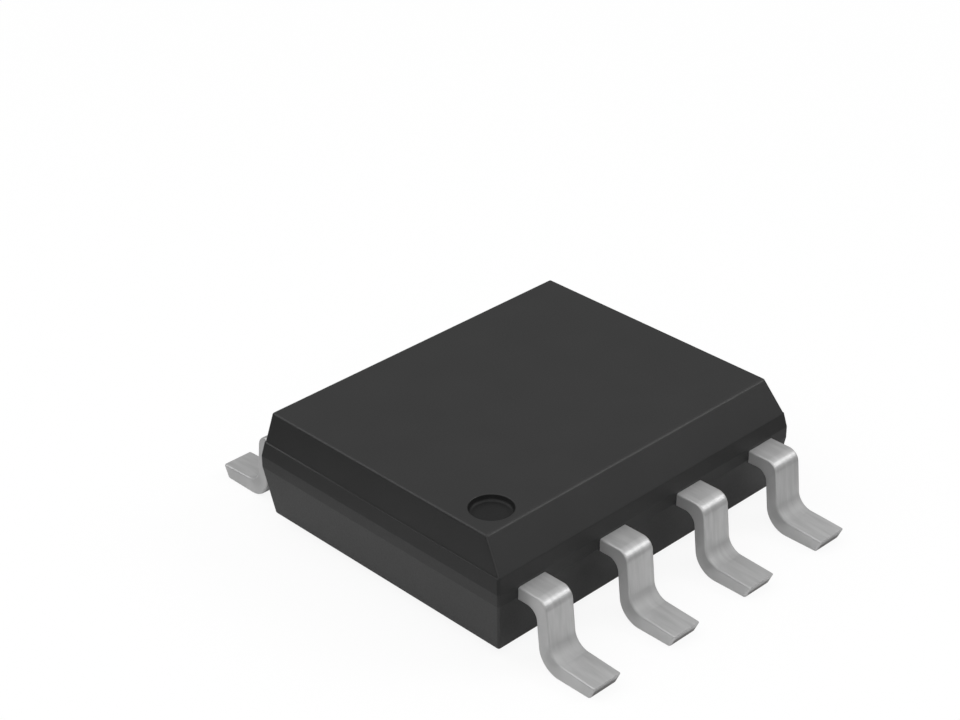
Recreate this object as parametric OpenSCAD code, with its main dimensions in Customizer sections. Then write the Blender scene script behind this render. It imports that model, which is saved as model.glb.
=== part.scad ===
// Operational amplifier chip in an eight-lead gull-wing package, moulded over its lead frame.
// The origin is on the board, under the middle of the moulding. X runs along the lead rows, Z is up.
// Leads 1 to 4 leave the -Y side, counted from -X, and leads 5 to 8 are the same four turned half round.

/* [Moulding] */
// Width of the moulding across the lead rows, at its upright band
body_width = 3.92; // [3.4:0.02:5]
// Moulding left beyond the outer leads at each end
end_margin = 0.295; // [0.2:0.005:0.8]
// Height of the moulding under its upright band
lower_half = 0.66; // [0.55:0.01:0.8]
// Height of the upright band that the leads come out of
band_height = 0.15; // [0.1:0.01:0.25]
// Height of the moulding over its upright band
upper_half = 0.58; // [0.48:0.01:0.8]
// Gap between the board and the underside of the moulding
standoff = 0.13; // [0.05:0.01:0.25]
// Slope of the sides under the band, in degrees from upright
lower_draft = 8; // [3:0.5:15]
// Slope of the sides over the band, in degrees from upright
upper_draft = 10; // [3:0.5:15]
// Height of the chamfer along the top edge beside leads 1 to 4, which ends at the mould line
chamfer_rise = 0.40; // [0.3:0.01:0.45]
// Width of that chamfer, seen from above
chamfer_run = 0.27; // [0.2:0.01:0.5]
// Step in the sides at the mould line
mould_step = 0.012; // [0.004:0.001:0.02]

/* [Dimple] */
// Diameter of the dimple that marks lead 1, at the top face
dimple_d = 0.51; // [0.3:0.01:0.7]
// Depth of the dimple
dimple_depth = 0.08; // [0.04:0.01:0.15]
// Taper of the dimple's wall, in degrees from upright
dimple_draft = 10; // [0:1:30]
// From the end of the moulding to the middle of the dimple
dimple_from_end = 0.53; // [0.45:0.01:1.2]
// From the side of the moulding to the middle of the dimple
dimple_from_side = 0.64; // [0.6:0.01:1.2]

/* [Leads] */
// Distance between neighbouring leads
lead_pitch = 1.27; // [1.05:0.01:1.6]
// Width of a lead outside the moulding
lead_width = 0.42; // [0.3:0.01:0.51]
// Thickness of the lead frame's strip
lead_thickness = 0.17; // [0.12:0.01:0.25]
// How far the strip's underside lies below the foot of the band
frame_drop = 0.05; // [0:0.01:0.08]
// Clear gap between the moulding's side and a lead's leg, at the shoulder
leg_gap = 0.25; // [0.16:0.01:0.5]
// Outward lean of the leg, in degrees from upright
leg_lean = 6; // [0:0.5:12]
// Radius on the inside of the bend at the shoulder
shoulder_inside = 0.14; // [0.05:0.01:0.16]
// Radius on the outside of that bend, which is pressed tight
shoulder_outside = 0.15; // [0.06:0.01:0.3]
// Radius on the inside of the bend at the heel
heel_inside = 0.20; // [0.08:0.01:0.3]
// Radius on the outside of that bend
heel_outside = 0.30; // [0.1:0.01:0.4]
// Flat length of the sole
sole_length = 0.45; // [0.2:0.01:0.8]
// Fall of the foot's upper face towards the toe, in degrees
foot_slope = 3; // [0:0.5:6]
// How far the cut end of the foot leans out over its sole
toe_lean = 0.08; // [0:0.01:0.12]

/* [Fingers inside the moulding] */
// Length of a finger from the side of the moulding to its tip
finger_length = 0.81; // [0.65:0.01:0.95]
// Straight neck of a finger before it widens
finger_neck = 0.14; // [0.05:0.01:0.2]
// Width of the head of an inner finger
inner_head = 0.72; // [0.55:0.01:0.8]
// Width of the head of an outer finger, which widens inwards only
outer_head = 0.84; // [0.55:0.01:0.88]
// Diameter of the hole in a finger's head that the moulding fills
lock_hole_d = 0.20; // [0.1:0.01:0.24]
// From the tip of a finger to the middle of its lock hole
lock_hole_from_tip = 0.36; // [0.3:0.01:0.4]

/* [Die and paddle] */
// Gap between the fingertips and the paddle, seen from above
paddle_side_gap = 0.20; // [0.1:0.01:0.3]
// From the end of the moulding to the paddle
paddle_end_gap = 1.24; // [0.9:0.01:1.4]
// How far the paddle lies below the leads
paddle_downset = 0.15; // [0.05:0.01:0.2]
// Width of the tie bar at each end of the paddle
tie_width = 0.30; // [0.15:0.01:0.5]
// Level stretch of a tie bar before it climbs to the leads
tie_flat = 0.25; // [0.1:0.01:0.5]
// Moulding left over the cut end of a tie bar
tie_cover = 0.12; // [0.05:0.01:0.3]
// Length of the die, along X
die_length = 1.30; // [1.1:0.02:1.6]
// Width of the die, along Y
die_width = 1.10; // [0.9:0.02:1.3]
// Thickness of the die
die_thickness = 0.28; // [0.15:0.01:0.34]
// Thickness of the adhesive under the die
attach_thickness = 0.025; // [0.01:0.005:0.05]
// How far the adhesive squeezes out round the die
attach_margin = 0.05; // [0.01:0.01:0.1]

/* [Bond wires] */
// Diameter of the wire
wire_d = 0.025; // [0.018:0.001:0.05]
// Diameter of the ball that is pressed on the die
ball_d = 0.07; // [0.055:0.005:0.1]
// Height of that ball
ball_height = 0.015; // [0.01:0.001:0.03]
// Height of the loop's wire over the die
loop_height = 0.14; // [0.1:0.01:0.2]
// Radius of the bend at the top of the loop
loop_radius = 0.06; // [0.03:0.005:0.08]
// Distance between neighbouring balls along the die's edge
pad_pitch = 0.32; // [0.15:0.01:0.34]
// From the die's edge to the middle of a ball
pad_inset = 0.09; // [0.06:0.01:0.2]
// From the tip of a finger to where its wire ends
stitch_from_tip = 0.12; // [0.08:0.01:0.16]

/* [Hidden] */
$fn = 48;
// Extra reach of a cutter past the face that it cuts
past = 0.05;
// How far the arc of a bend runs past the straight edge that it meets
arc_overrun = 0.00001;
leads_per_side = 4;
lead_count = 2 * leads_per_side;

// Levels over the board, from the bottom up
body_bottom = standoff;
band_bottom = body_bottom + lower_half;
band_top = band_bottom + band_height;
body_top = band_top + upper_half;
mould_line = body_top - chamfer_rise;
frame_bottom = band_bottom - frame_drop;
frame_top = frame_bottom + lead_thickness;
paddle_top = frame_top - paddle_downset;
paddle_bottom = paddle_top - lead_thickness;
attach_top = paddle_top + attach_thickness;
die_top = attach_top + die_thickness;

// The moulding's outline, and how far its sides lean in at each level
body_length = (leads_per_side - 1) * lead_pitch + lead_width + 2 * end_margin;
lean_bottom = lower_half * tan(lower_draft);
lean_line = (mould_line - band_top) * tan(upper_draft);
lean_top = upper_half * tan(upper_draft) + mould_step;

// A lead's outline before its bends are rounded, outwards from the moulding's side and up from the board
leg_run = tan(leg_lean);
leg_across = lead_thickness / cos(leg_lean);
function leg_inner(level) = leg_gap + (frame_bottom - level) * leg_run;
shoulder_inner_corner = [leg_gap, frame_bottom];
shoulder_outer_corner = [leg_inner(frame_top) + leg_across, frame_top];
heel_outer_corner = [leg_inner(0), 0];
toe_bottom = heel_outer_corner.x + heel_outside / tan(45 + leg_lean / 2) + sole_length;
toe_top = toe_bottom + toe_lean;

// The crook of the heel, where the leg's outer face meets the foot's upper face
foot_fall = tan(foot_slope);
function foot_upper(outwards) = lead_thickness + (toe_top - outwards) * foot_fall;
crook_x = (leg_inner(foot_upper(0)) + leg_across) / (1 - leg_run * foot_fall);
heel_inner_corner = [crook_x, foot_upper(crook_x)];

// The paddle fills the room that the fingers leave
paddle_length = body_length - 2 * paddle_end_gap;
paddle_width = body_width - 2 * (finger_length + paddle_side_gap);
tie_reach = body_length / 2 - tie_cover;

// Which place in its row a lead has, where that is along X, and whether it is one of the outer two
function row_place(number) = (number - 1) % leads_per_side;
function from_middle(number) = row_place(number) - (leads_per_side - 1) / 2;
function lead_x(number) = from_middle(number) * lead_pitch;
function is_outer(number) = row_place(number) == 0 || row_place(number) == leads_per_side - 1;

// How far the head of a finger sits off its lead's middle: an outer head is flush with its lead's outer edge
outer_shift = (outer_head - lead_width) / 2;
function head_shift(number) = is_outer(number) ? -sign(from_middle(number)) * outer_shift : 0;
function head_width(number) = is_outer(number) ? outer_head : inner_head;

// Where a bond wire starts on the die and ends on its finger, seen from above
function pad_place(number) = [from_middle(number) * pad_pitch, pad_inset - die_width / 2];
function stitch_place(number) =
    [lead_x(number) + head_shift(number), finger_length - stitch_from_tip - body_width / 2];

// Turns what belongs to the second row half round, to the other side of the moulding.
module on_its_row(number) {
    rotate([0, 0, number > leads_per_side ? 180 : 0])
        children();
}

// Sets an outline drawn in X and Y upright, so that its Y is up, and draws it out evenly to both sides.
module upright_slab(thickness) {
    rotate([90, 0, 0])
        linear_extrude(height = thickness, center = true)
            children();
}

// One upright side of the moulding, from the bottom up: half the body's size, and then its levels.
function side_points(half_size) = [
    [half_size - lean_bottom, body_bottom],
    [half_size, band_bottom],
    [half_size, band_top],
    [half_size - lean_line, mould_line],
    [half_size - lean_line - mould_step, mould_line + mould_step],
    [half_size - lean_top, body_top]
];

// The side that has the chamfer, from the top down.
function chamfered_side_points(half_size) = [
    [chamfer_run + lean_line - half_size, body_top],
    [lean_line - half_size, mould_line],
    [-half_size, band_top],
    [-half_size, band_bottom],
    [lean_bottom - half_size, body_bottom]
];

function mirrored(points) = [for (i = [len(points) - 1:-1:0]) [-points[i].x, points[i].y]];

// The moulding before anything is sunk in it: its outline along X, met by its outline along Y.
module moulding_block() {
    along_points = side_points(body_length / 2);
    intersection() {
        upright_slab(body_width + past)
            polygon(concat(along_points, mirrored(along_points)));
        rotate([0, 0, 90])
            upright_slab(body_length + past)
                polygon(concat(side_points(body_width / 2), chamfered_side_points(body_width / 2)));
    }
}

// The mark for lead 1, as the tapered plug that its dimple is pressed by.
module dimple_cutter() {
    widening = 2 * tan(dimple_draft);
    floor_d = dimple_d - dimple_depth * widening;
    mouth_d = dimple_d + past * widening;
    translate([dimple_from_end - body_length / 2, dimple_from_side - body_width / 2, body_top - dimple_depth])
        cylinder(h = dimple_depth + past, d1 = floor_d, d2 = mouth_d);
}

// The epoxy, moulded round the lead frame, the die and the wires.
module moulded_body() {
    color([0.23, 0.23, 0.23])
        difference() {
            moulding_block();
            dimple_cutter();
            for (number = [1:lead_count]) {
                lead(number);
                bond_wire(number);
            }
            die_paddle();
            die_attach();
            silicon_die();
        }
}

// What lies between the corner of a bend and the arc that rounds it, and a little past the corner.
// The two edges leave the corner in the directions of the two angles.
module bend_corner(corner, angles, radius) {
    half = (angles[1] - angles[0]) / 2;
    centre = radius / sin(half);
    reach = 1.2;
    side_x = centre - reach * radius * sin(half);
    side_y = reach * radius * cos(half);
    translate(corner)
        rotate(angles[0] + half)
            difference() {
                polygon([[centre, 0], [side_x, side_y], [centre * (1 - reach), 0], [side_x, -side_y]]);
                translate([centre, 0])
                    circle(r = radius + arc_overrun);
            }
}

// The bent strip outside the moulding: shoulder, leg, heel and foot. X is outwards and Y is up.
module gull_wing_outline() {
    inwards = -180;
    down_leg = leg_lean - 90;
    up_leg = leg_lean + 90;
    along_sole = 0;
    down_foot = -foot_slope;
    difference() {
        union() {
            polygon([
                [0, frame_bottom],
                shoulder_inner_corner,
                heel_outer_corner,
                [toe_bottom, 0],
                [toe_top, lead_thickness],
                heel_inner_corner,
                shoulder_outer_corner,
                [0, frame_top]
            ]);
            bend_corner(shoulder_inner_corner, [inwards, down_leg], shoulder_inside);
            bend_corner(heel_inner_corner, [down_foot, up_leg], heel_inside);
        }
        bend_corner(shoulder_outer_corner, [inwards, down_leg], shoulder_outside);
        bend_corner(heel_outer_corner, [along_sole, up_leg], heel_outside);
    }
}

// The flat finger inside the moulding: neck, sloped shoulders and head. Y is inwards from the side.
module finger_outline(number) {
    half_lead = lead_width / 2;
    left = head_shift(number) - head_width(number) / 2;
    right = head_shift(number) + head_width(number) / 2;
    difference() {
        polygon([
            [-half_lead, 0],
            [half_lead, 0],
            [half_lead, finger_neck],
            [right, finger_neck + right - half_lead],
            [right, finger_length],
            [left, finger_length],
            [left, finger_neck - left - half_lead],
            [-half_lead, finger_neck]
        ]);
        translate([head_shift(number), finger_length - lock_hole_from_tip])
            circle(d = lock_hole_d);
    }
}

module lead(number) {
    color([0.68, 0.68, 0.67])
        on_its_row(number)
            translate([lead_x(number), -body_width / 2, 0]) {
                rotate([0, 0, -90])
                    upright_slab(lead_width)
                        gull_wing_outline();
                translate([0, 0, frame_bottom])
                    linear_extrude(height = lead_thickness)
                        finger_outline(number);
            }
}

// The pad under the die, with a tie bar to each end that climbs back to the level of the leads.
module die_paddle() {
    climb_start = paddle_length / 2 + tie_flat;
    climb_end = climb_start + paddle_downset;
    color([0.72, 0.45, 0.30]) {
        translate([-paddle_length / 2, -paddle_width / 2, paddle_bottom])
            cube([paddle_length, paddle_width, lead_thickness]);
        for (turn = [0, 180])
            rotate([0, 0, turn])
                upright_slab(tie_width)
                    polygon([
                        [0, paddle_bottom],
                        [climb_start, paddle_bottom],
                        [climb_end, frame_bottom],
                        [tie_reach, frame_bottom],
                        [tie_reach, frame_top],
                        [climb_end, frame_top],
                        [climb_start, paddle_top],
                        [0, paddle_top]
                    ]);
    }
}

// A plate in the middle of the paddle, its underside at a level.
module centred_plate(size, level) {
    translate([-size.x / 2, -size.y / 2, level])
        cube(size);
}

module die_attach() {
    attach_length = die_length + 2 * attach_margin;
    attach_width = die_width + 2 * attach_margin;
    color([0.60, 0.60, 0.62])
        centred_plate([attach_length, attach_width, attach_thickness], paddle_top);
}

module silicon_die() {
    color([0.33, 0.35, 0.40])
        centred_plate([die_length, die_width, die_thickness], attach_top);
}

// The wire in its own upright plane: X runs from the ball towards the finger, and Z is up.
// It rises from the ball, bends over at the top of the loop and runs straight down to the finger.
// Its slope is in whole thousandths of a degree, so that both ends of the bend meet their runs squarely.
module wire_loop(reach) {
    bend_level = die_top + loop_height - loop_radius;
    across = reach - loop_radius;
    drop = bend_level - frame_top;
    slope_steps = 1000;
    slope = asin(loop_radius / norm([across, drop])) + atan2(drop, across);
    descent = round(slope * slope_steps) / slope_steps;
    straight = sqrt(across * across + drop * drop - loop_radius * loop_radius) + wire_d / tan(descent);
    translate([0, 0, die_top]) {
        cylinder(h = ball_height, d = ball_d);
        cylinder(h = bend_level - die_top, d = wire_d);
    }
    translate([loop_radius, 0, bend_level]) {
        rotate([90, 0, 0])
            rotate_extrude(angle = 90 + descent, start = 90 - descent)
                translate([loop_radius, 0])
                    circle(d = wire_d);
        difference() {
            rotate([0, descent, 0])
                translate([0, 0, loop_radius])
                    rotate([0, 90, 0])
                        cylinder(h = straight, d = wire_d);
            translate([0, -wire_d, -drop - straight])
                cube([reach + straight, 2 * wire_d, straight]);
        }
    }
}

module bond_wire(number) {
    start = pad_place(number);
    span = stitch_place(number) - start;
    color([0.95, 0.76, 0.30])
        on_its_row(number)
            translate([start.x, start.y, 0])
                rotate([0, 0, atan2(span.y, span.x)])
                    wire_loop(norm(span));
}

moulded_body();
for (number = [1:lead_count]) {
    lead(number);
    bond_wire(number);
}
die_paddle();
die_attach();
silicon_die();
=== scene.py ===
import math

import bmesh
import bpy
from mathutils import Matrix, Vector


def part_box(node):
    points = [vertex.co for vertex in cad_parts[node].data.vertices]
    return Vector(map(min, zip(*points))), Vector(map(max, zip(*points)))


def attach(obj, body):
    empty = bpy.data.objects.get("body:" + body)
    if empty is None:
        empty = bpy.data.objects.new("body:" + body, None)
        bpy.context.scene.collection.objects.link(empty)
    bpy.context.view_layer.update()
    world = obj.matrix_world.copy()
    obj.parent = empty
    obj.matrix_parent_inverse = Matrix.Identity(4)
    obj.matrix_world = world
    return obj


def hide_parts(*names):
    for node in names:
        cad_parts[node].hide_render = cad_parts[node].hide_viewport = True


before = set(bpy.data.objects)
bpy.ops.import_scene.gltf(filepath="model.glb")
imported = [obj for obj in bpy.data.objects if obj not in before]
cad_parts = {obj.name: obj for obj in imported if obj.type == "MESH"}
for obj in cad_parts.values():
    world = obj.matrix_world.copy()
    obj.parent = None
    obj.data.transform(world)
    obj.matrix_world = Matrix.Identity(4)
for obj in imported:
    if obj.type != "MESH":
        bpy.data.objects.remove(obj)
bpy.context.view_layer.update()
mm = 0.001  # pieces are modelled in millimetres, then brought to metres
slack = 1e-4  # millimetres that a point may be off and still count as in place
mergeWithin = 1e-5
closely = 0.99  # least share along a direction that counts as facing or running that way
steep = 0.5  # least upward share of an edge that counts as running up
flat = 1e-3  # greatest upward share of an edge that counts as level
smoothAngle = 32  # degrees between faces, past which an edge stays sharp


def cornersOf(node):  # lowest and highest corner of a CAD node, in millimetres
    low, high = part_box(node)
    return low / mm, high / mm


bodyLow, bodyHigh = cornersOf("moulded_body")
halfLength, halfWidth = bodyHigh.x, bodyHigh.y
stripTop = cornersOf("lead_2")[1].z  # top of the leads where they leave the moulding
print("frame loaded, body", [round(side, 3) for side in bodyHigh - bodyLow])


def leaveEditing():
    if bpy.context.object and bpy.context.object.mode == "EDIT":
        bpy.ops.object.mode_set(mode="OBJECT")
    bpy.ops.object.select_all(action="DESELECT")


def activate(piece):
    leaveEditing()
    piece.select_set(True)
    bpy.context.view_layer.objects.active = piece


def startEditing(piece):
    activate(piece)
    bpy.ops.object.mode_set(mode="EDIT")


def pick(piece, kind, wanted):  # selects what passes the test on its middle and its direction
    bpy.ops.mesh.select_mode(type=kind)
    bpy.ops.mesh.select_all(action="DESELECT")
    mesh = bmesh.from_edit_mesh(piece.data)
    if kind == "FACE":
        found = [face for face in mesh.faces if wanted(face.calc_center_median(), face.normal)]
    elif kind == "VERT":
        found = [vert for vert in mesh.verts if wanted(vert.co, vert.normal)]
    else:
        found = []
        for edge in mesh.edges:
            start, end = (vert.co for vert in edge.verts)
            if wanted((start + end) / 2, (end - start).normalized()):
                found.append(edge)
    for item in found:
        item.select_set(True)
    mesh.select_flush_mode()
    bmesh.update_edit_mesh(piece.data)


def markPicked(piece, name):  # keeps the picked faces under a name, for a finish of their own
    bpy.ops.object.mode_set(mode="OBJECT")
    mark = piece.data.attributes.new(name, "BOOLEAN", "FACE")
    for face in piece.data.polygons:
        mark.data[face.index].value = face.select


def near(value, target, within=slack):
    return abs(value - target) < within


def extrude(x=0, y=0, z=0):
    bpy.ops.mesh.extrude_region_move(TRANSFORM_OT_translate={"value": (x, y, z)})


def roundOff(width, steps, kind="EDGES"):
    bpy.ops.mesh.bevel(offset=width, segments=steps, affect=kind, clamp_overlap=False)


def closeUp():  # one skin with its faces outwards
    bpy.ops.mesh.select_mode(type="VERT")
    bpy.ops.mesh.select_all(action="SELECT")
    bpy.ops.mesh.remove_doubles(threshold=mergeWithin)
    bpy.ops.mesh.normals_make_consistent(inside=False)


def settle():  # brings the active piece's place, turn and scale into its mesh
    bpy.ops.object.transform_apply(location=True, rotation=True, scale=True)


def cutWith(piece, cutter):
    activate(piece)
    cut = piece.modifiers.new("cut", "BOOLEAN")
    cut.operation = "DIFFERENCE"
    cut.solver = "EXACT"
    cut.object = cutter
    bpy.ops.object.modifier_apply(modifier=cut.name)
    bpy.data.objects.remove(cutter)


def toMetres(piece):  # smooth shading that keeps flat faces flat, then the real size in the mesh
    activate(piece)
    bpy.ops.object.shade_smooth_by_angle(angle=math.radians(smoothAngle))
    even = piece.modifiers.new("even", "WEIGHTED_NORMAL")
    even.keep_sharp = True
    bpy.ops.object.modifier_apply(modifier=even.name)
    piece.scale = (mm, mm, mm)
    settle()


def standFor(piece, node):
    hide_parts(node)
    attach(piece, "root")


# a block at the upright band, drawn up and down with its drafts
moulding = {
    "lowerHalf": 0.66,
    "bandHeight": 0.15,
    "lowerDraft": 8,  # degrees from upright
    "upperDraft": 10,
    "chamferRise": 0.40,
    "chamferRun": 0.27,
    "mouldStep": 0.012,
    "edgeRound": 0.030,
    "edgeSteps": 3,
    "bandRound": 0.006,
    "bandSteps": 2,
    "dimpleWidth": 0.51,
    "dimpleDepth": 0.08,
    "dimpleDraft": 10,
    "dimpleFromEnd": 0.53,
    "dimpleFromSide": 0.64,
    "dimpleSides": 72,
    "cutterPast": 0.05,  # how far the cutter of the dimple stands above the top
    "rimRound": 0.012,
    "rimSlack": 0.002,
    "floorRound": 0.03,
    "finishBelow": 0.004,  # how far below the top the dimple's own finish, darkened as painted shade, starts
}


def drawTo(level, start, goal):  # carries the picked face to a level and leans its sides from ring to ring
    extrude(z=level - start["level"])
    wide = goal["end"] / start["end"]
    deep = (goal["back"] - goal["front"]) / (start["back"] - start["front"])
    bpy.ops.transform.resize(value=(wide, deep, 1), center_override=(0, 0, level))
    bpy.ops.transform.translate(value=(0, goal["front"] - deep * start["front"], 0))


def ring(level, lean, frontLean):  # the moulding's outline at a level, drawn in by its leans
    return {
        "level": level,
        "end": halfLength - lean,
        "front": frontLean - halfWidth,
        "back": halfWidth - lean,
    }


def sinkDimple(piece):
    depth, past = moulding["dimpleDepth"], moulding["cutterPast"]
    taper = math.tan(math.radians(moulding["dimpleDraft"]))
    mouth = moulding["dimpleWidth"] / 2
    place = Vector((moulding["dimpleFromEnd"] - halfLength, moulding["dimpleFromSide"] - halfWidth, 0))
    floorLevel = bodyHigh.z - depth
    leaveEditing()
    bpy.ops.mesh.primitive_cone_add(
        vertices=moulding["dimpleSides"],
        radius1=mouth - depth * taper,
        radius2=mouth + past * taper,
        depth=depth + past,
        location=place + Vector((0, 0, floorLevel + (depth + past) / 2)),
    )
    cutWith(piece, bpy.context.object)

    def fromDimple(point):
        return (point - place).xy.length

    startEditing(piece)
    pick(piece, "EDGE", lambda middle, along: near(middle.z, bodyHigh.z)
         and near(fromDimple(middle), mouth, moulding["rimSlack"]))
    roundOff(moulding["rimRound"], moulding["edgeSteps"])
    pick(piece, "EDGE", lambda middle, along: near(middle.z, floorLevel) and fromDimple(middle) < mouth)
    roundOff(moulding["floorRound"], moulding["edgeSteps"])
    closeUp()
    finishTop = bodyHigh.z - moulding["finishBelow"]
    pick(piece, "FACE", lambda middle, normal: fromDimple(middle) < mouth and middle.z < finishTop)
    markPicked(piece, "dimple")


def makeMoulding():
    bandLow = bodyLow.z + moulding["lowerHalf"]
    bandHigh = bandLow + moulding["bandHeight"]
    mouldLine = bodyHigh.z - moulding["chamferRise"]
    step, run = moulding["mouldStep"], moulding["chamferRun"]
    slopeUp = math.tan(math.radians(moulding["upperDraft"]))
    leanLow = (bandLow - bodyLow.z) * math.tan(math.radians(moulding["lowerDraft"]))
    leanLine = (mouldLine - bandHigh) * slopeUp
    leanTop = (bodyHigh.z - bandHigh) * slopeUp + step
    rings = [
        ring(bandHigh, 0, 0),
        ring(mouldLine, leanLine, leanLine),
        ring(mouldLine + step, leanLine + step, leanLine + run * step / moulding["chamferRise"]),
        ring(bodyHigh.z, leanTop, leanLine + run),
    ]

    leaveEditing()
    bpy.ops.mesh.primitive_cube_add(
        size=1,
        location=(0, 0, (bandLow + bandHigh) / 2),
        scale=(2 * halfLength, 2 * halfWidth, bandHigh - bandLow),
    )
    piece = bpy.context.object
    piece.name = "epoxyMoulding"
    settle()
    startEditing(piece)
    pick(piece, "FACE", lambda middle, normal: normal.z > closely)
    for start, goal in zip(rings, rings[1:]):
        drawTo(goal["level"], start, goal)
    pick(piece, "FACE", lambda middle, normal: normal.z < -closely)
    drawTo(bodyLow.z, ring(bandLow, 0, 0), ring(bodyLow.z, leanLow, leanLow))
    closeUp()

    # corners, top edges and bottom edges are a little rounded, the band and the chamfer's foot less so
    pick(piece, "EDGE", lambda middle, along: abs(along.z) > steep
         or near(middle.z, bodyHigh.z) or near(middle.z, bodyLow.z))
    roundOff(moulding["edgeRound"], moulding["edgeSteps"])
    pick(piece, "EDGE", lambda middle, along: abs(along.z) < flat
         and (near(middle.z, bandLow) or near(middle.z, bandHigh)))
    roundOff(moulding["bandRound"], moulding["bandSteps"])
    pick(piece, "EDGE", lambda middle, along: near(middle.z, mouldLine)
         and near(middle.y, leanLine - halfWidth) and abs(along.x) > closely)
    roundOff(moulding["bandRound"], moulding["bandSteps"])
    closeUp()
    sinkDimple(piece)
    return piece


# the side view of a bent strip, drawn out to its width, with a finger inside the moulding
lead = {
    "width": 0.42,
    "thickness": 0.17,
    "pitch": 1.27,
    "perSide": 4,
    "legGap": 0.25,
    "legLean": 6,  # degrees from upright
    "shoulderInside": 0.14,  # radii of the bends
    "shoulderOutside": 0.15,
    "heelInside": 0.20,
    "heelOutside": 0.30,
    "bendSteps": 16,
    "soleLength": 0.45,
    "footSlope": 3,  # degrees
    "toeLean": 0.08,
    "edgeRound": 0.024,
    "edgeSteps": 3,
    "fingerLength": 0.81,
    "fingerNeck": 0.14,
    "innerHead": 0.72,
    "outerHead": 0.84,
    "lockHole": 0.20,
    "lockHoleSides": 32,
    "lockHoleFromTip": 0.36,
}


def leadCorners():  # corners of the side view: outwards, up, and the radius of the bend there
    thick, gap, stripLow = lead["thickness"], lead["legGap"], stripTop - lead["thickness"]
    lean = math.radians(lead["legLean"])
    run, fall = math.tan(lean), math.tan(math.radians(lead["footSlope"]))
    across = thick / math.cos(lean)

    def legInner(level):
        return gap + (stripLow - level) * run

    toeLow = legInner(0) + lead["heelOutside"] / math.tan(math.pi / 4 + lean / 2) + lead["soleLength"]
    toeHigh = toeLow + lead["toeLean"]
    footAtSide = thick + toeHigh * fall  # the foot's top, carried on to the moulding's side
    crook = (legInner(footAtSide) + across) / (1 - run * fall)
    return {
        "rootLow": (0, stripLow, 0),
        "shoulderInside": (gap, stripLow, lead["shoulderInside"]),
        "heelOutside": (legInner(0), 0, lead["heelOutside"]),
        "toeLow": (toeLow, 0, 0),
        "toeHigh": (toeHigh, thick, 0),
        "heelInside": (crook, footAtSide - crook * fall, lead["heelInside"]),
        "shoulderOutside": (legInner(stripTop) + across, stripTop, lead["shoulderOutside"]),
        "rootHigh": (0, stripTop, 0),
    }


def traceFace(name, points):  # a flat face drawn corner by corner
    leaveEditing()
    bpy.ops.mesh.primitive_plane_add(size=1)
    piece = bpy.context.object
    piece.name = name
    startEditing(piece)
    bpy.ops.mesh.select_mode(type="VERT")
    bpy.ops.mesh.select_all(action="SELECT")
    bpy.ops.mesh.merge(type="CENTER")
    bpy.ops.transform.translate(value=points[0])
    for start, end in zip(points, points[1:]):
        bpy.ops.mesh.extrude_vertices_move(TRANSFORM_OT_translate={"value": end - start})
    bpy.ops.mesh.select_all(action="SELECT")
    bpy.ops.mesh.edge_face_add()
    return piece


def makeLead(name, headWidth, headShift):
    side, halfLead, thick = -halfWidth, lead["width"] / 2, lead["thickness"]
    corners = leadCorners()
    places = {key: Vector((-halfLead, side - out, up)) for key, (out, up, radius) in corners.items()}
    points = list(places.values())
    radii = [radius for out, up, radius in corners.values()]
    piece = traceFace(name, points)
    for before, corner, after, radius in zip(points, points[1:], points[2:], radii[1:]):
        if radius:
            half = (before - corner).angle(after - corner) / 2
            pick(piece, "VERT", lambda place, normal: (place - corner).length < slack)
            roundOff(radius / math.tan(half), lead["bendSteps"], "VERTICES")
    pick(piece, "FACE", lambda middle, normal: True)
    extrude(x=lead["width"])
    closeUp()
    toeLow, toeHigh = places["toeLow"].yz, places["toeHigh"].yz
    pick(piece, "EDGE", lambda middle, along: near(abs(middle.x), halfLead) and middle.y < side - slack
         or (middle.yz - toeLow).length < slack or (middle.yz - toeHigh).length < slack)
    roundOff(lead["edgeRound"], lead["edgeSteps"])
    closeUp()

    # finger: neck, sloped shoulders and head, all inside the moulding
    slope = headWidth / 2 + abs(headShift) - halfLead
    pick(piece, "FACE", lambda middle, normal: near(middle.y, side) and normal.y > closely)
    extrude(y=lead["fingerNeck"])
    extrude(y=slope)
    bpy.ops.transform.resize(value=(headWidth / lead["width"], 1, 1), center_override=(0, 0, 0))
    bpy.ops.transform.translate(value=(headShift, 0, 0))
    extrude(y=lead["fingerLength"] - lead["fingerNeck"] - slope)
    closeUp()
    leaveEditing()
    bpy.ops.mesh.primitive_cylinder_add(
        vertices=lead["lockHoleSides"],
        radius=lead["lockHole"] / 2,
        depth=3 * thick,  # well past both faces of the strip
        location=(headShift, side + lead["fingerLength"] - lead["lockHoleFromTip"], stripTop - thick / 2),
    )
    cutWith(piece, bpy.context.object)

    startEditing(piece)
    endFacing = Vector((0, -thick, -lead["toeLean"])).normalized()
    pick(piece, "FACE", lambda middle, normal: normal.dot(endFacing) > closely and middle.z < thick)
    markPicked(piece, "shearedEnd")
    return piece


def leadCopy(model, name, mirrored, across, turned):
    activate(model)
    bpy.ops.object.duplicate()
    piece = bpy.context.object
    piece.name = name
    if mirrored:
        piece.scale.x = -1
        settle()
    piece.location.x = across
    settle()
    if turned:
        piece.rotation_euler.z = math.pi
        settle()
    startEditing(piece)
    closeUp()
    leaveEditing()
    return piece


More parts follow.
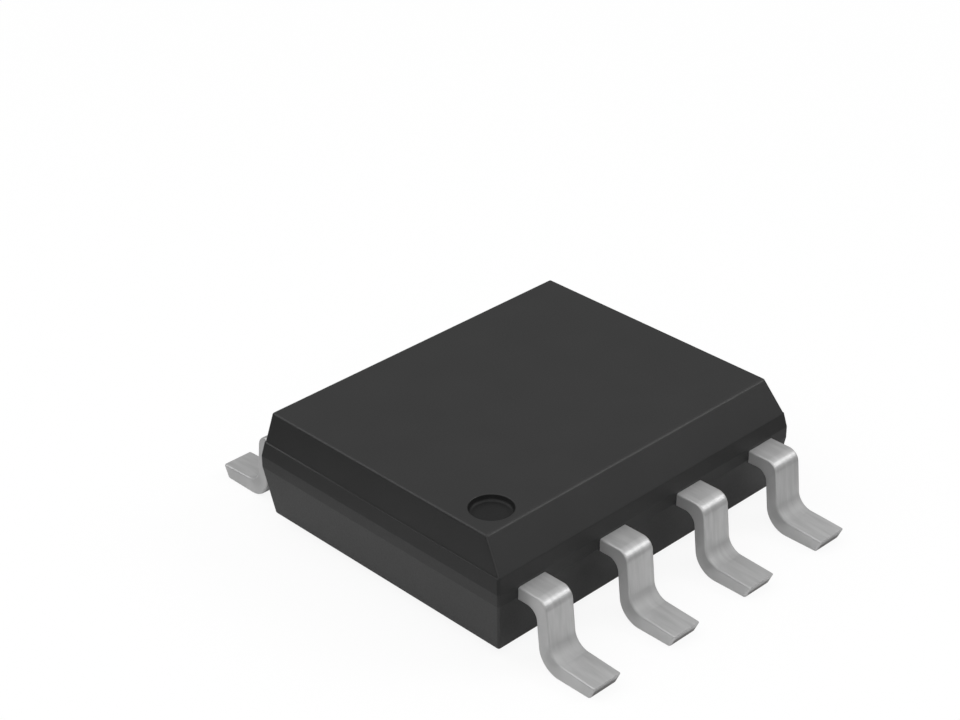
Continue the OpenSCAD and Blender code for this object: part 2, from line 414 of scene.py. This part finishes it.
def makeLeads():  # numbered round the body, the outer ones of a row with their heads set inwards
    perSide = lead["perSide"]
    outerShift = (lead["outerHead"] - lead["width"]) / 2
    innerModel = makeLead("innerLead", lead["innerHead"], 0)
    outerModel = makeLead("outerLead", lead["outerHead"], outerShift)
    pieces = []
    for number in range(1, 2 * perSide + 1):
        place = (number - 1) % perSide
        fromMiddle = place - (perSide - 1) / 2
        isOuter = place in (0, perSide - 1)
        piece = leadCopy(
            outerModel if isOuter else innerModel,
            f"gullWing{number}",
            mirrored=isOuter and fromMiddle > 0,
            across=fromMiddle * lead["pitch"],
            turned=number > perSide,
        )
        pieces.append(piece)
    bpy.data.objects.remove(innerModel)
    bpy.data.objects.remove(outerModel)
    return pieces


def grey(level):
    return (level, level, level)


usualRange = (0.3, 0.7)  # what most of a noise's values lie between
bumpStrength = 0.3
grainDetail = 3.0
cloudDetail = 2.0

# colours run from low to high over the clouds, roughness over the grain; sizes are in millimetres
finishes = {
    "matteEpoxy": {
        "low": grey(0.0165),
        "high": grey(0.0185),
        "roughness": (0.40, 0.48),
        "grainSize": 0.02,
        "cloudSize": 0.7,
        "bumpHeight": 0.002,
        "shine": 0.36,
    },
    # the dimple's epoxy: a finish of its own, its darker colour painted shade of the recess
    "shadedDimpleEpoxy": {
        "low": grey(0.008),
        "high": grey(0.011),
        "roughness": (0.50, 0.58),
        "grainSize": 0.03,
        "cloudSize": 0.4,
        "bumpHeight": 0.001,
        "shine": 0.25,
    },
    "matteTin": {
        "low": grey(0.415),
        "high": grey(0.495),
        "roughness": (0.35, 0.45),
        "grainSize": 0.012,
        "cloudSize": 0.06,
        "bumpHeight": 0.001,
        "metallic": 0.5,
        "stretch": 8.0,  # how many times longer than wide the streaks are
    },
    "rolledCopper": {
        "low": (0.55, 0.27, 0.16),
        "high": (0.66, 0.34, 0.21),
        "roughness": (0.30, 0.42),
        "grainSize": 0.02,
        "cloudSize": 0.4,
        "bumpHeight": 0.002,
        "metallic": 1.0,
        "stretch": 6.0,
    },
    "silverAdhesive": {
        "low": (0.28, 0.28, 0.29),
        "high": (0.42, 0.42, 0.43),
        "roughness": (0.5, 0.7),
        "grainSize": 0.01,
        "cloudSize": 0.05,
        "bumpHeight": 0.004,
        "metallic": 0.3,
    },
    "etchedSilicon": {
        "low": (0.055, 0.06, 0.085),
        "high": (0.08, 0.09, 0.12),
        "roughness": (0.12, 0.22),
        "grainSize": 0.02,
        "cloudSize": 0.08,
        "bumpHeight": 0.0005,
        "shine": 0.7,
    },
    "drawnGold": {
        "low": (0.86, 0.52, 0.14),
        "high": (0.94, 0.60, 0.18),
        "roughness": (0.16, 0.26),
        "grainSize": 0.01,
        "cloudSize": 0.05,
        "bumpHeight": 0.0005,
        "metallic": 1.0,
    },
}


def newFinish(name):
    material = bpy.data.materials.new(name)
    material.use_nodes = True
    tree = material.node_tree
    return material, tree, tree.nodes["Principled BSDF"]


def addNode(tree, kind, **settings):
    node = tree.nodes.new(kind)
    for key, value in settings.items():
        setattr(node, key, value)
    return node


def feed(tree, socket, source):  # an output is linked, a plain number or vector is set
    if isinstance(source, bpy.types.NodeSocket):
        tree.links.new(source, socket)
    else:
        socket.default_value = source


def addMath(tree, operation, *sources, kind="ShaderNodeMath"):
    node = addNode(tree, kind, operation=operation)
    for socket, source in zip(node.inputs, sources):
        feed(tree, socket, source)
    return node.outputs[0]


def objectPlace(tree):
    return addNode(tree, "ShaderNodeTexCoord").outputs["Object"]


def distance(tree, place):
    away = addNode(tree, "ShaderNodeVectorMath", operation="LENGTH")
    tree.links.new(place, away.inputs[0])
    return away.outputs["Value"]


def carryOver(tree, value, source, goal, **settings):  # brings a value from one range to another
    node = addNode(tree, "ShaderNodeMapRange", **settings)
    for key, number in zip(("From Min", "From Max", "To Min", "To Max"), (*source, *goal)):
        node.inputs[key].default_value = number
    tree.links.new(value, node.inputs["Value"])
    return node.outputs["Result"]


def shadeRange(tree, value, low, high):  # a colour that runs from low to high over the usual range
    ramp = addNode(tree, "ShaderNodeValToRGB")
    for stop, place, colour in zip(ramp.color_ramp.elements, usualRange, (low, high)):
        stop.position = place
        stop.color = (*colour, 1)
    tree.links.new(value, ramp.inputs[0])
    return ramp.outputs[0]


def addBump(tree, value, height):  # height in millimetres
    bump = addNode(tree, "ShaderNodeBump")
    bump.inputs["Strength"].default_value = bumpStrength
    bump.inputs["Distance"].default_value = height * mm
    tree.links.new(value, bump.inputs["Height"])
    return bump.outputs[0]


def makeGrainGroup():  # fine grain and soft clouding, both stretched along Y and Z
    group = bpy.data.node_groups.new("surfaceGrain", "ShaderNodeTree")
    for name in ("Grain Size", "Cloud Size", "Stretch"):
        group.interface.new_socket(name, in_out="INPUT", socket_type="NodeSocketFloat")
    for name in ("Grain", "Cloud"):
        group.interface.new_socket(name, in_out="OUTPUT", socket_type="NodeSocketFloat")
    given = addNode(group, "NodeGroupInput")
    result = addNode(group, "NodeGroupOutput")
    longways = addMath(group, "DIVIDE", 1 / mm, given.outputs["Stretch"])
    drawn = addNode(group, "ShaderNodeCombineXYZ")
    for socket, source in zip(drawn.inputs, (1 / mm, longways, longways)):
        feed(group, socket, source)
    place = addMath(group, "MULTIPLY", objectPlace(group), drawn.outputs[0], kind="ShaderNodeVectorMath")
    for name, detail in (("Grain", grainDetail), ("Cloud", cloudDetail)):
        noise = addNode(group, "ShaderNodeTexNoise")
        noise.inputs["Detail"].default_value = detail
        group.links.new(place, noise.inputs["Vector"])
        group.links.new(addMath(group, "DIVIDE", 1.0, given.outputs[f"{name} Size"]), noise.inputs["Scale"])
        group.links.new(noise.outputs["Fac"], result.inputs[name])
    return group


def addGrain(tree, grainSize, cloudSize, stretch=1.0):
    node = addNode(tree, "ShaderNodeGroup", node_tree=grainGroup)
    node.inputs["Grain Size"].default_value = grainSize
    node.inputs["Cloud Size"].default_value = cloudSize
    node.inputs["Stretch"].default_value = stretch
    return node.outputs["Grain"], node.outputs["Cloud"]


def makeGrained(
    name, low, high, roughness, grainSize, cloudSize, bumpHeight, metallic=0.0, shine=0.5, stretch=1.0
):
    material, tree, shader = newFinish(name)
    grain, cloud = addGrain(tree, grainSize, cloudSize, stretch)
    tree.links.new(shadeRange(tree, cloud, low, high), shader.inputs["Base Color"])
    tree.links.new(carryOver(tree, grain, usualRange, roughness), shader.inputs["Roughness"])
    tree.links.new(addBump(tree, grain, bumpHeight), shader.inputs["Normal"])
    shader.inputs["Metallic"].default_value = metallic
    shader.inputs["Specular IOR Level"].default_value = shine
    return material


# the heel's inner bend, where the bending tool worked the tin dull; its colour is darkened there as painted
# shade of the crease
crookDullAndShade = {
    "within": (0.07, 0.19),  # from the middle of the bend: how far it is all dull and shaded, and how far at all
    "metallic": 0.22,
    "roughness": 0.60,
    "shade": 0.82,  # painted shade of the crease: share of the tin's own colour
}


# duller, less metallic tin in the heel's crook, with painted shade darkening its colour
def dullAndShadeCrook(material):
    tree = material.node_tree
    shader = tree.nodes["Principled BSDF"]
    corners = leadCorners()
    toe, heel, shoulder = (Vector(corners[key][:2]) for key in ("toeHigh", "heelInside", "shoulderOutside"))
    toFoot, toLeg = (toe - heel).normalized(), (shoulder - heel).normalized()
    half = toFoot.angle(toLeg) / 2
    middle = heel + (toFoot + toLeg).normalized() * lead["heelInside"] * (1 / math.sin(half) - 1)

    # both rows of leads are folded onto one side, and X counts for nothing
    folded = addMath(tree, "ABSOLUTE", objectPlace(tree), kind="ShaderNodeVectorMath")
    toMiddle = (0, -(halfWidth + middle.x) * mm, -middle.y * mm)
    fromMiddle = addMath(tree, "MULTIPLY_ADD", folded, (0, 1, 1), toMiddle, kind="ShaderNodeVectorMath")
    away = distance(tree, fromMiddle)
    reach = [edge * mm for edge in crookDullAndShade["within"]]

    def inCrook(dull, elsewhere):
        return carryOver(tree, away, reach, (dull, elsewhere), interpolation_type="SMOOTHSTEP")

    metallic, roughness, colour = (shader.inputs[key] for key in ("Metallic", "Roughness", "Base Color"))
    tree.links.new(inCrook(crookDullAndShade["metallic"], finishes["matteTin"]["metallic"]), metallic)
    own = roughness.links[0].from_socket
    tree.links.new(addMath(tree, "MAXIMUM", own, inCrook(crookDullAndShade["roughness"], 0)), roughness)
    # painted shade: the tin's colour darkened in the crook
    darker = addNode(tree, "ShaderNodeVectorMath", operation="SCALE")
    tree.links.new(colour.links[0].from_socket, darker.inputs[0])
    tree.links.new(inCrook(crookDullAndShade["shade"], 1), darker.inputs["Scale"])
    tree.links.new(darker.outputs[0], colour)


# the cut at a toe: tin dragged down over its upper part, bare metal below, painted darker there as shade of
# the downward-facing cut
sheared = {
    "shadedBareMetal": (0.20, 0.195, 0.19),
    "draggedTin": grey(0.40),
    "tinFrom": (0.10, 0.15),  # heights between which the bare metal, darkened as painted shade, gives way to tin
    "uneven": 0.05,
    "roughness": (0.40, 0.55),
    "grainSize": 0.02,
    "cloudSize": 0.06,
    "bumpHeight": 0.002,
}


def makeSheared():
    material, tree, shader = newFinish("shearedEdge")
    grain, cloud = addGrain(tree, sheared["grainSize"], sheared["cloudSize"])
    apart = addNode(tree, "ShaderNodeSeparateXYZ")
    tree.links.new(objectPlace(tree), apart.inputs[0])
    height = addMath(tree, "MULTIPLY_ADD", cloud, sheared["uneven"] * mm, apart.outputs["Z"])
    dragged = carryOver(tree, height, [edge * mm for edge in sheared["tinFrom"]], (0, 1))
    # bare metal low on the cut, darker as painted shade, giving way to dragged tin higher up
    shade = shadeRange(tree, dragged, sheared["shadedBareMetal"], sheared["draggedTin"])
    tree.links.new(shade, shader.inputs["Base Color"])
    tree.links.new(carryOver(tree, grain, usualRange, sheared["roughness"]), shader.inputs["Roughness"])
    tree.links.new(addBump(tree, grain, sheared["bumpHeight"]), shader.inputs["Normal"])
    shader.inputs["Metallic"].default_value = 1.0
    return material


grainGroup = makeGrainGroup()
materials = {name: makeGrained(name, **values) for name, values in finishes.items()}
materials["shearedEdge"] = makeSheared()
dullAndShadeCrook(materials["matteTin"])
print("finishes made,", len(materials))


def dress(piece, finish, marked, markedFinish):  # a finish all over, and another on the marked faces
    piece.data.materials.clear()
    piece.data.materials.append(materials[finish])
    piece.data.materials.append(materials[markedFinish])
    marks = [mark.value for mark in piece.data.attributes[marked].data]  # read first: writing moves them
    piece.data.attributes.remove(piece.data.attributes[marked])
    for face, isMarked in zip(piece.data.polygons, marks):
        face.material_index = 1 if isMarked else 0


body = makeMoulding()
# the dimple's faces take the darker finish, painted shade of the recess
dress(body, "matteEpoxy", "dimple", "shadedDimpleEpoxy")
toMetres(body)
standFor(body, "moulded_body")
print("moulding made,", len(body.data.polygons), "faces")

for number, piece in enumerate(makeLeads(), 1):
    dress(piece, "matteTin", "shearedEnd", "shearedEdge")
    toMetres(piece)
    standFor(piece, f"lead_{number}")
print("leads made,", len(piece.data.polygons), "faces each")

# the inner pieces keep their CAD shapes
innerFinishes = {"die_paddle": "rolledCopper", "die_attach": "silverAdhesive", "silicon_die": "etchedSilicon"}
for name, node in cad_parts.items():
    finish = "drawnGold" if name.startswith("bond_wire") else innerFinishes.get(name)
    if finish:
        node.data.materials.clear()
        node.data.materials.append(materials[finish])
print("inner pieces dressed")


camera = {
    "azimuth": -44.165,  # degrees
    "elevation": 30.099,
    "roll": -0.448,
    "distance": 26.355,  # millimetres
    "target": (0.0058, 0.7797, 1.7061),
    "focalPixels": 2242,
    "frameWidth": 960,
    "sensor": 36,
    "clip": (1, 10000),  # nearest and farthest that it sees
}


def placeCamera():
    turn, rise, roll = (math.radians(camera[key]) for key in ("azimuth", "elevation", "roll"))
    back = Vector((math.sin(turn) * math.cos(rise), -math.cos(turn) * math.cos(rise), math.sin(rise)))
    right = Vector((0, 0, 1)).cross(back).normalized()
    up = back.cross(right)
    across = right * math.cos(roll) + up * math.sin(roll)
    upward = up * math.cos(roll) - right * math.sin(roll)
    leaveEditing()
    bpy.ops.object.camera_add(
        location=(Vector(camera["target"]) + back * camera["distance"]) * mm,
        rotation=Matrix((across, upward, back)).transposed().to_euler(),
    )
    eye = bpy.context.object
    eye.name = "photoCamera"
    eye.data.sensor_width = camera["sensor"]
    eye.data.lens = camera["focalPixels"] * camera["sensor"] / camera["frameWidth"]
    eye.data.clip_start, eye.data.clip_end = (reach * mm for reach in camera["clip"])
    bpy.context.scene.camera = eye


studio = {
    "floorWidth": 600,  # millimetres
    "floorDrop": 0.002,  # how far it lies below the soles
    "floorColour": 0.90,
    "floorRoughness": 0.9,
    "floorWhite": 0.90,  # share of plain white in the floor as the camera sees it
    "mirrorFade": (3.1, 5.8),  # how far out the floor goes, in mirrors, from its own shade near the piece to a painted dim shade
    "mirrorDim": 0.15,
    "skyRise": (0.15, 0.75),  # upward shares of a direction between which the sky goes from low to high
    "skyLow": 0.08,
    "skyHigh": 0.75,
    "lamps": {
        # name: (place, size, power in milliwatts)
        "frontRight": ((60, -50, 62), 40, 24),
        "frontLeft": ((-55, -55, 60), 50, 18),
        "leftTop": ((-60, 10, 70), 50, 8),
        "backLeft": ((-45, 60, 60), 50, 18),
        "overhead": ((0, 0, 90), 60, 8),
    },
}


def plainWhite(tree):  # share and brightness of the plain glow that rays from camera, metal and glass see
    path = addNode(tree, "ShaderNodeLightPath").outputs
    mirrored = addMath(tree, "MAXIMUM", path["Is Glossy Ray"], path["Is Transmission Ray"])
    away = distance(tree, objectPlace(tree))
    # painted shade: far from the piece, mirrors see the floor as a dim glow instead of its own shade
    fade = carryOver(tree, away, [edge * mm for edge in studio["mirrorFade"]], (0, 1))
    faded = addMath(tree, "MULTIPLY", mirrored, fade)
    share = addMath(tree, "MULTIPLY_ADD", path["Is Camera Ray"], studio["floorWhite"], faded)
    bright = carryOver(tree, path["Is Camera Ray"], (0, 1), (studio["mirrorDim"], 1))
    return share, bright


def makeFloor():
    leaveEditing()
    bpy.ops.mesh.primitive_plane_add(
        size=studio["floorWidth"] * mm, location=(0, 0, -studio["floorDrop"] * mm)
    )
    floor = bpy.context.object
    floor.name = "floor"
    material, tree, shader = newFinish("paleFloor")
    shader.inputs["Base Color"].default_value = (*grey(studio["floorColour"]), 1)
    shader.inputs["Roughness"].default_value = studio["floorRoughness"]
    shader.inputs["Specular IOR Level"].default_value = 0.0
    plain = addNode(tree, "ShaderNodeEmission")
    mixed = addNode(tree, "ShaderNodeMixShader")
    share, bright = plainWhite(tree)
    tree.links.new(bright, plain.inputs["Strength"])
    for socket, source in zip(mixed.inputs, (share, shader.outputs[0], plain.outputs[0])):
        tree.links.new(source, socket)
    tree.links.new(mixed.outputs[0], tree.nodes["Material Output"].inputs["Surface"])
    floor.data.materials.append(material)


def lightStudio():
    sky = bpy.data.worlds.new("studioSky")
    bpy.context.scene.world = sky
    sky.use_nodes = True
    tree = sky.node_tree
    direction = addNode(tree, "ShaderNodeTexCoord").outputs["Generated"]
    apart = addNode(tree, "ShaderNodeSeparateXYZ")
    tree.links.new(direction, apart.inputs[0])
    glow = carryOver(tree, apart.outputs["Z"], studio["skyRise"], (studio["skyLow"], studio["skyHigh"]))
    path = addNode(tree, "ShaderNodeLightPath")  # the camera sees plain white behind the floor
    seen = addMath(tree, "MAXIMUM", glow, path.outputs["Is Camera Ray"])
    background = tree.nodes["Background"]
    background.inputs["Color"].default_value = (1, 1, 1, 1)
    tree.links.new(seen, background.inputs["Strength"])
    for name, (place, size, power) in studio["lamps"].items():
        leaveEditing()
        bpy.ops.object.light_add(type="AREA", location=Vector(place) * mm)
        lamp = bpy.context.object
        lamp.name = name
        lamp.rotation_euler = Vector(place).to_track_quat("Z", "Y").to_euler()
        lamp.data.size = size * mm
        lamp.data.energy = power * mm
        lamp.visible_camera = False


placeCamera()
makeFloor()
lightStudio()
bpy.context.scene.view_settings.view_transform = "Standard"
print("camera, floor and light placed")
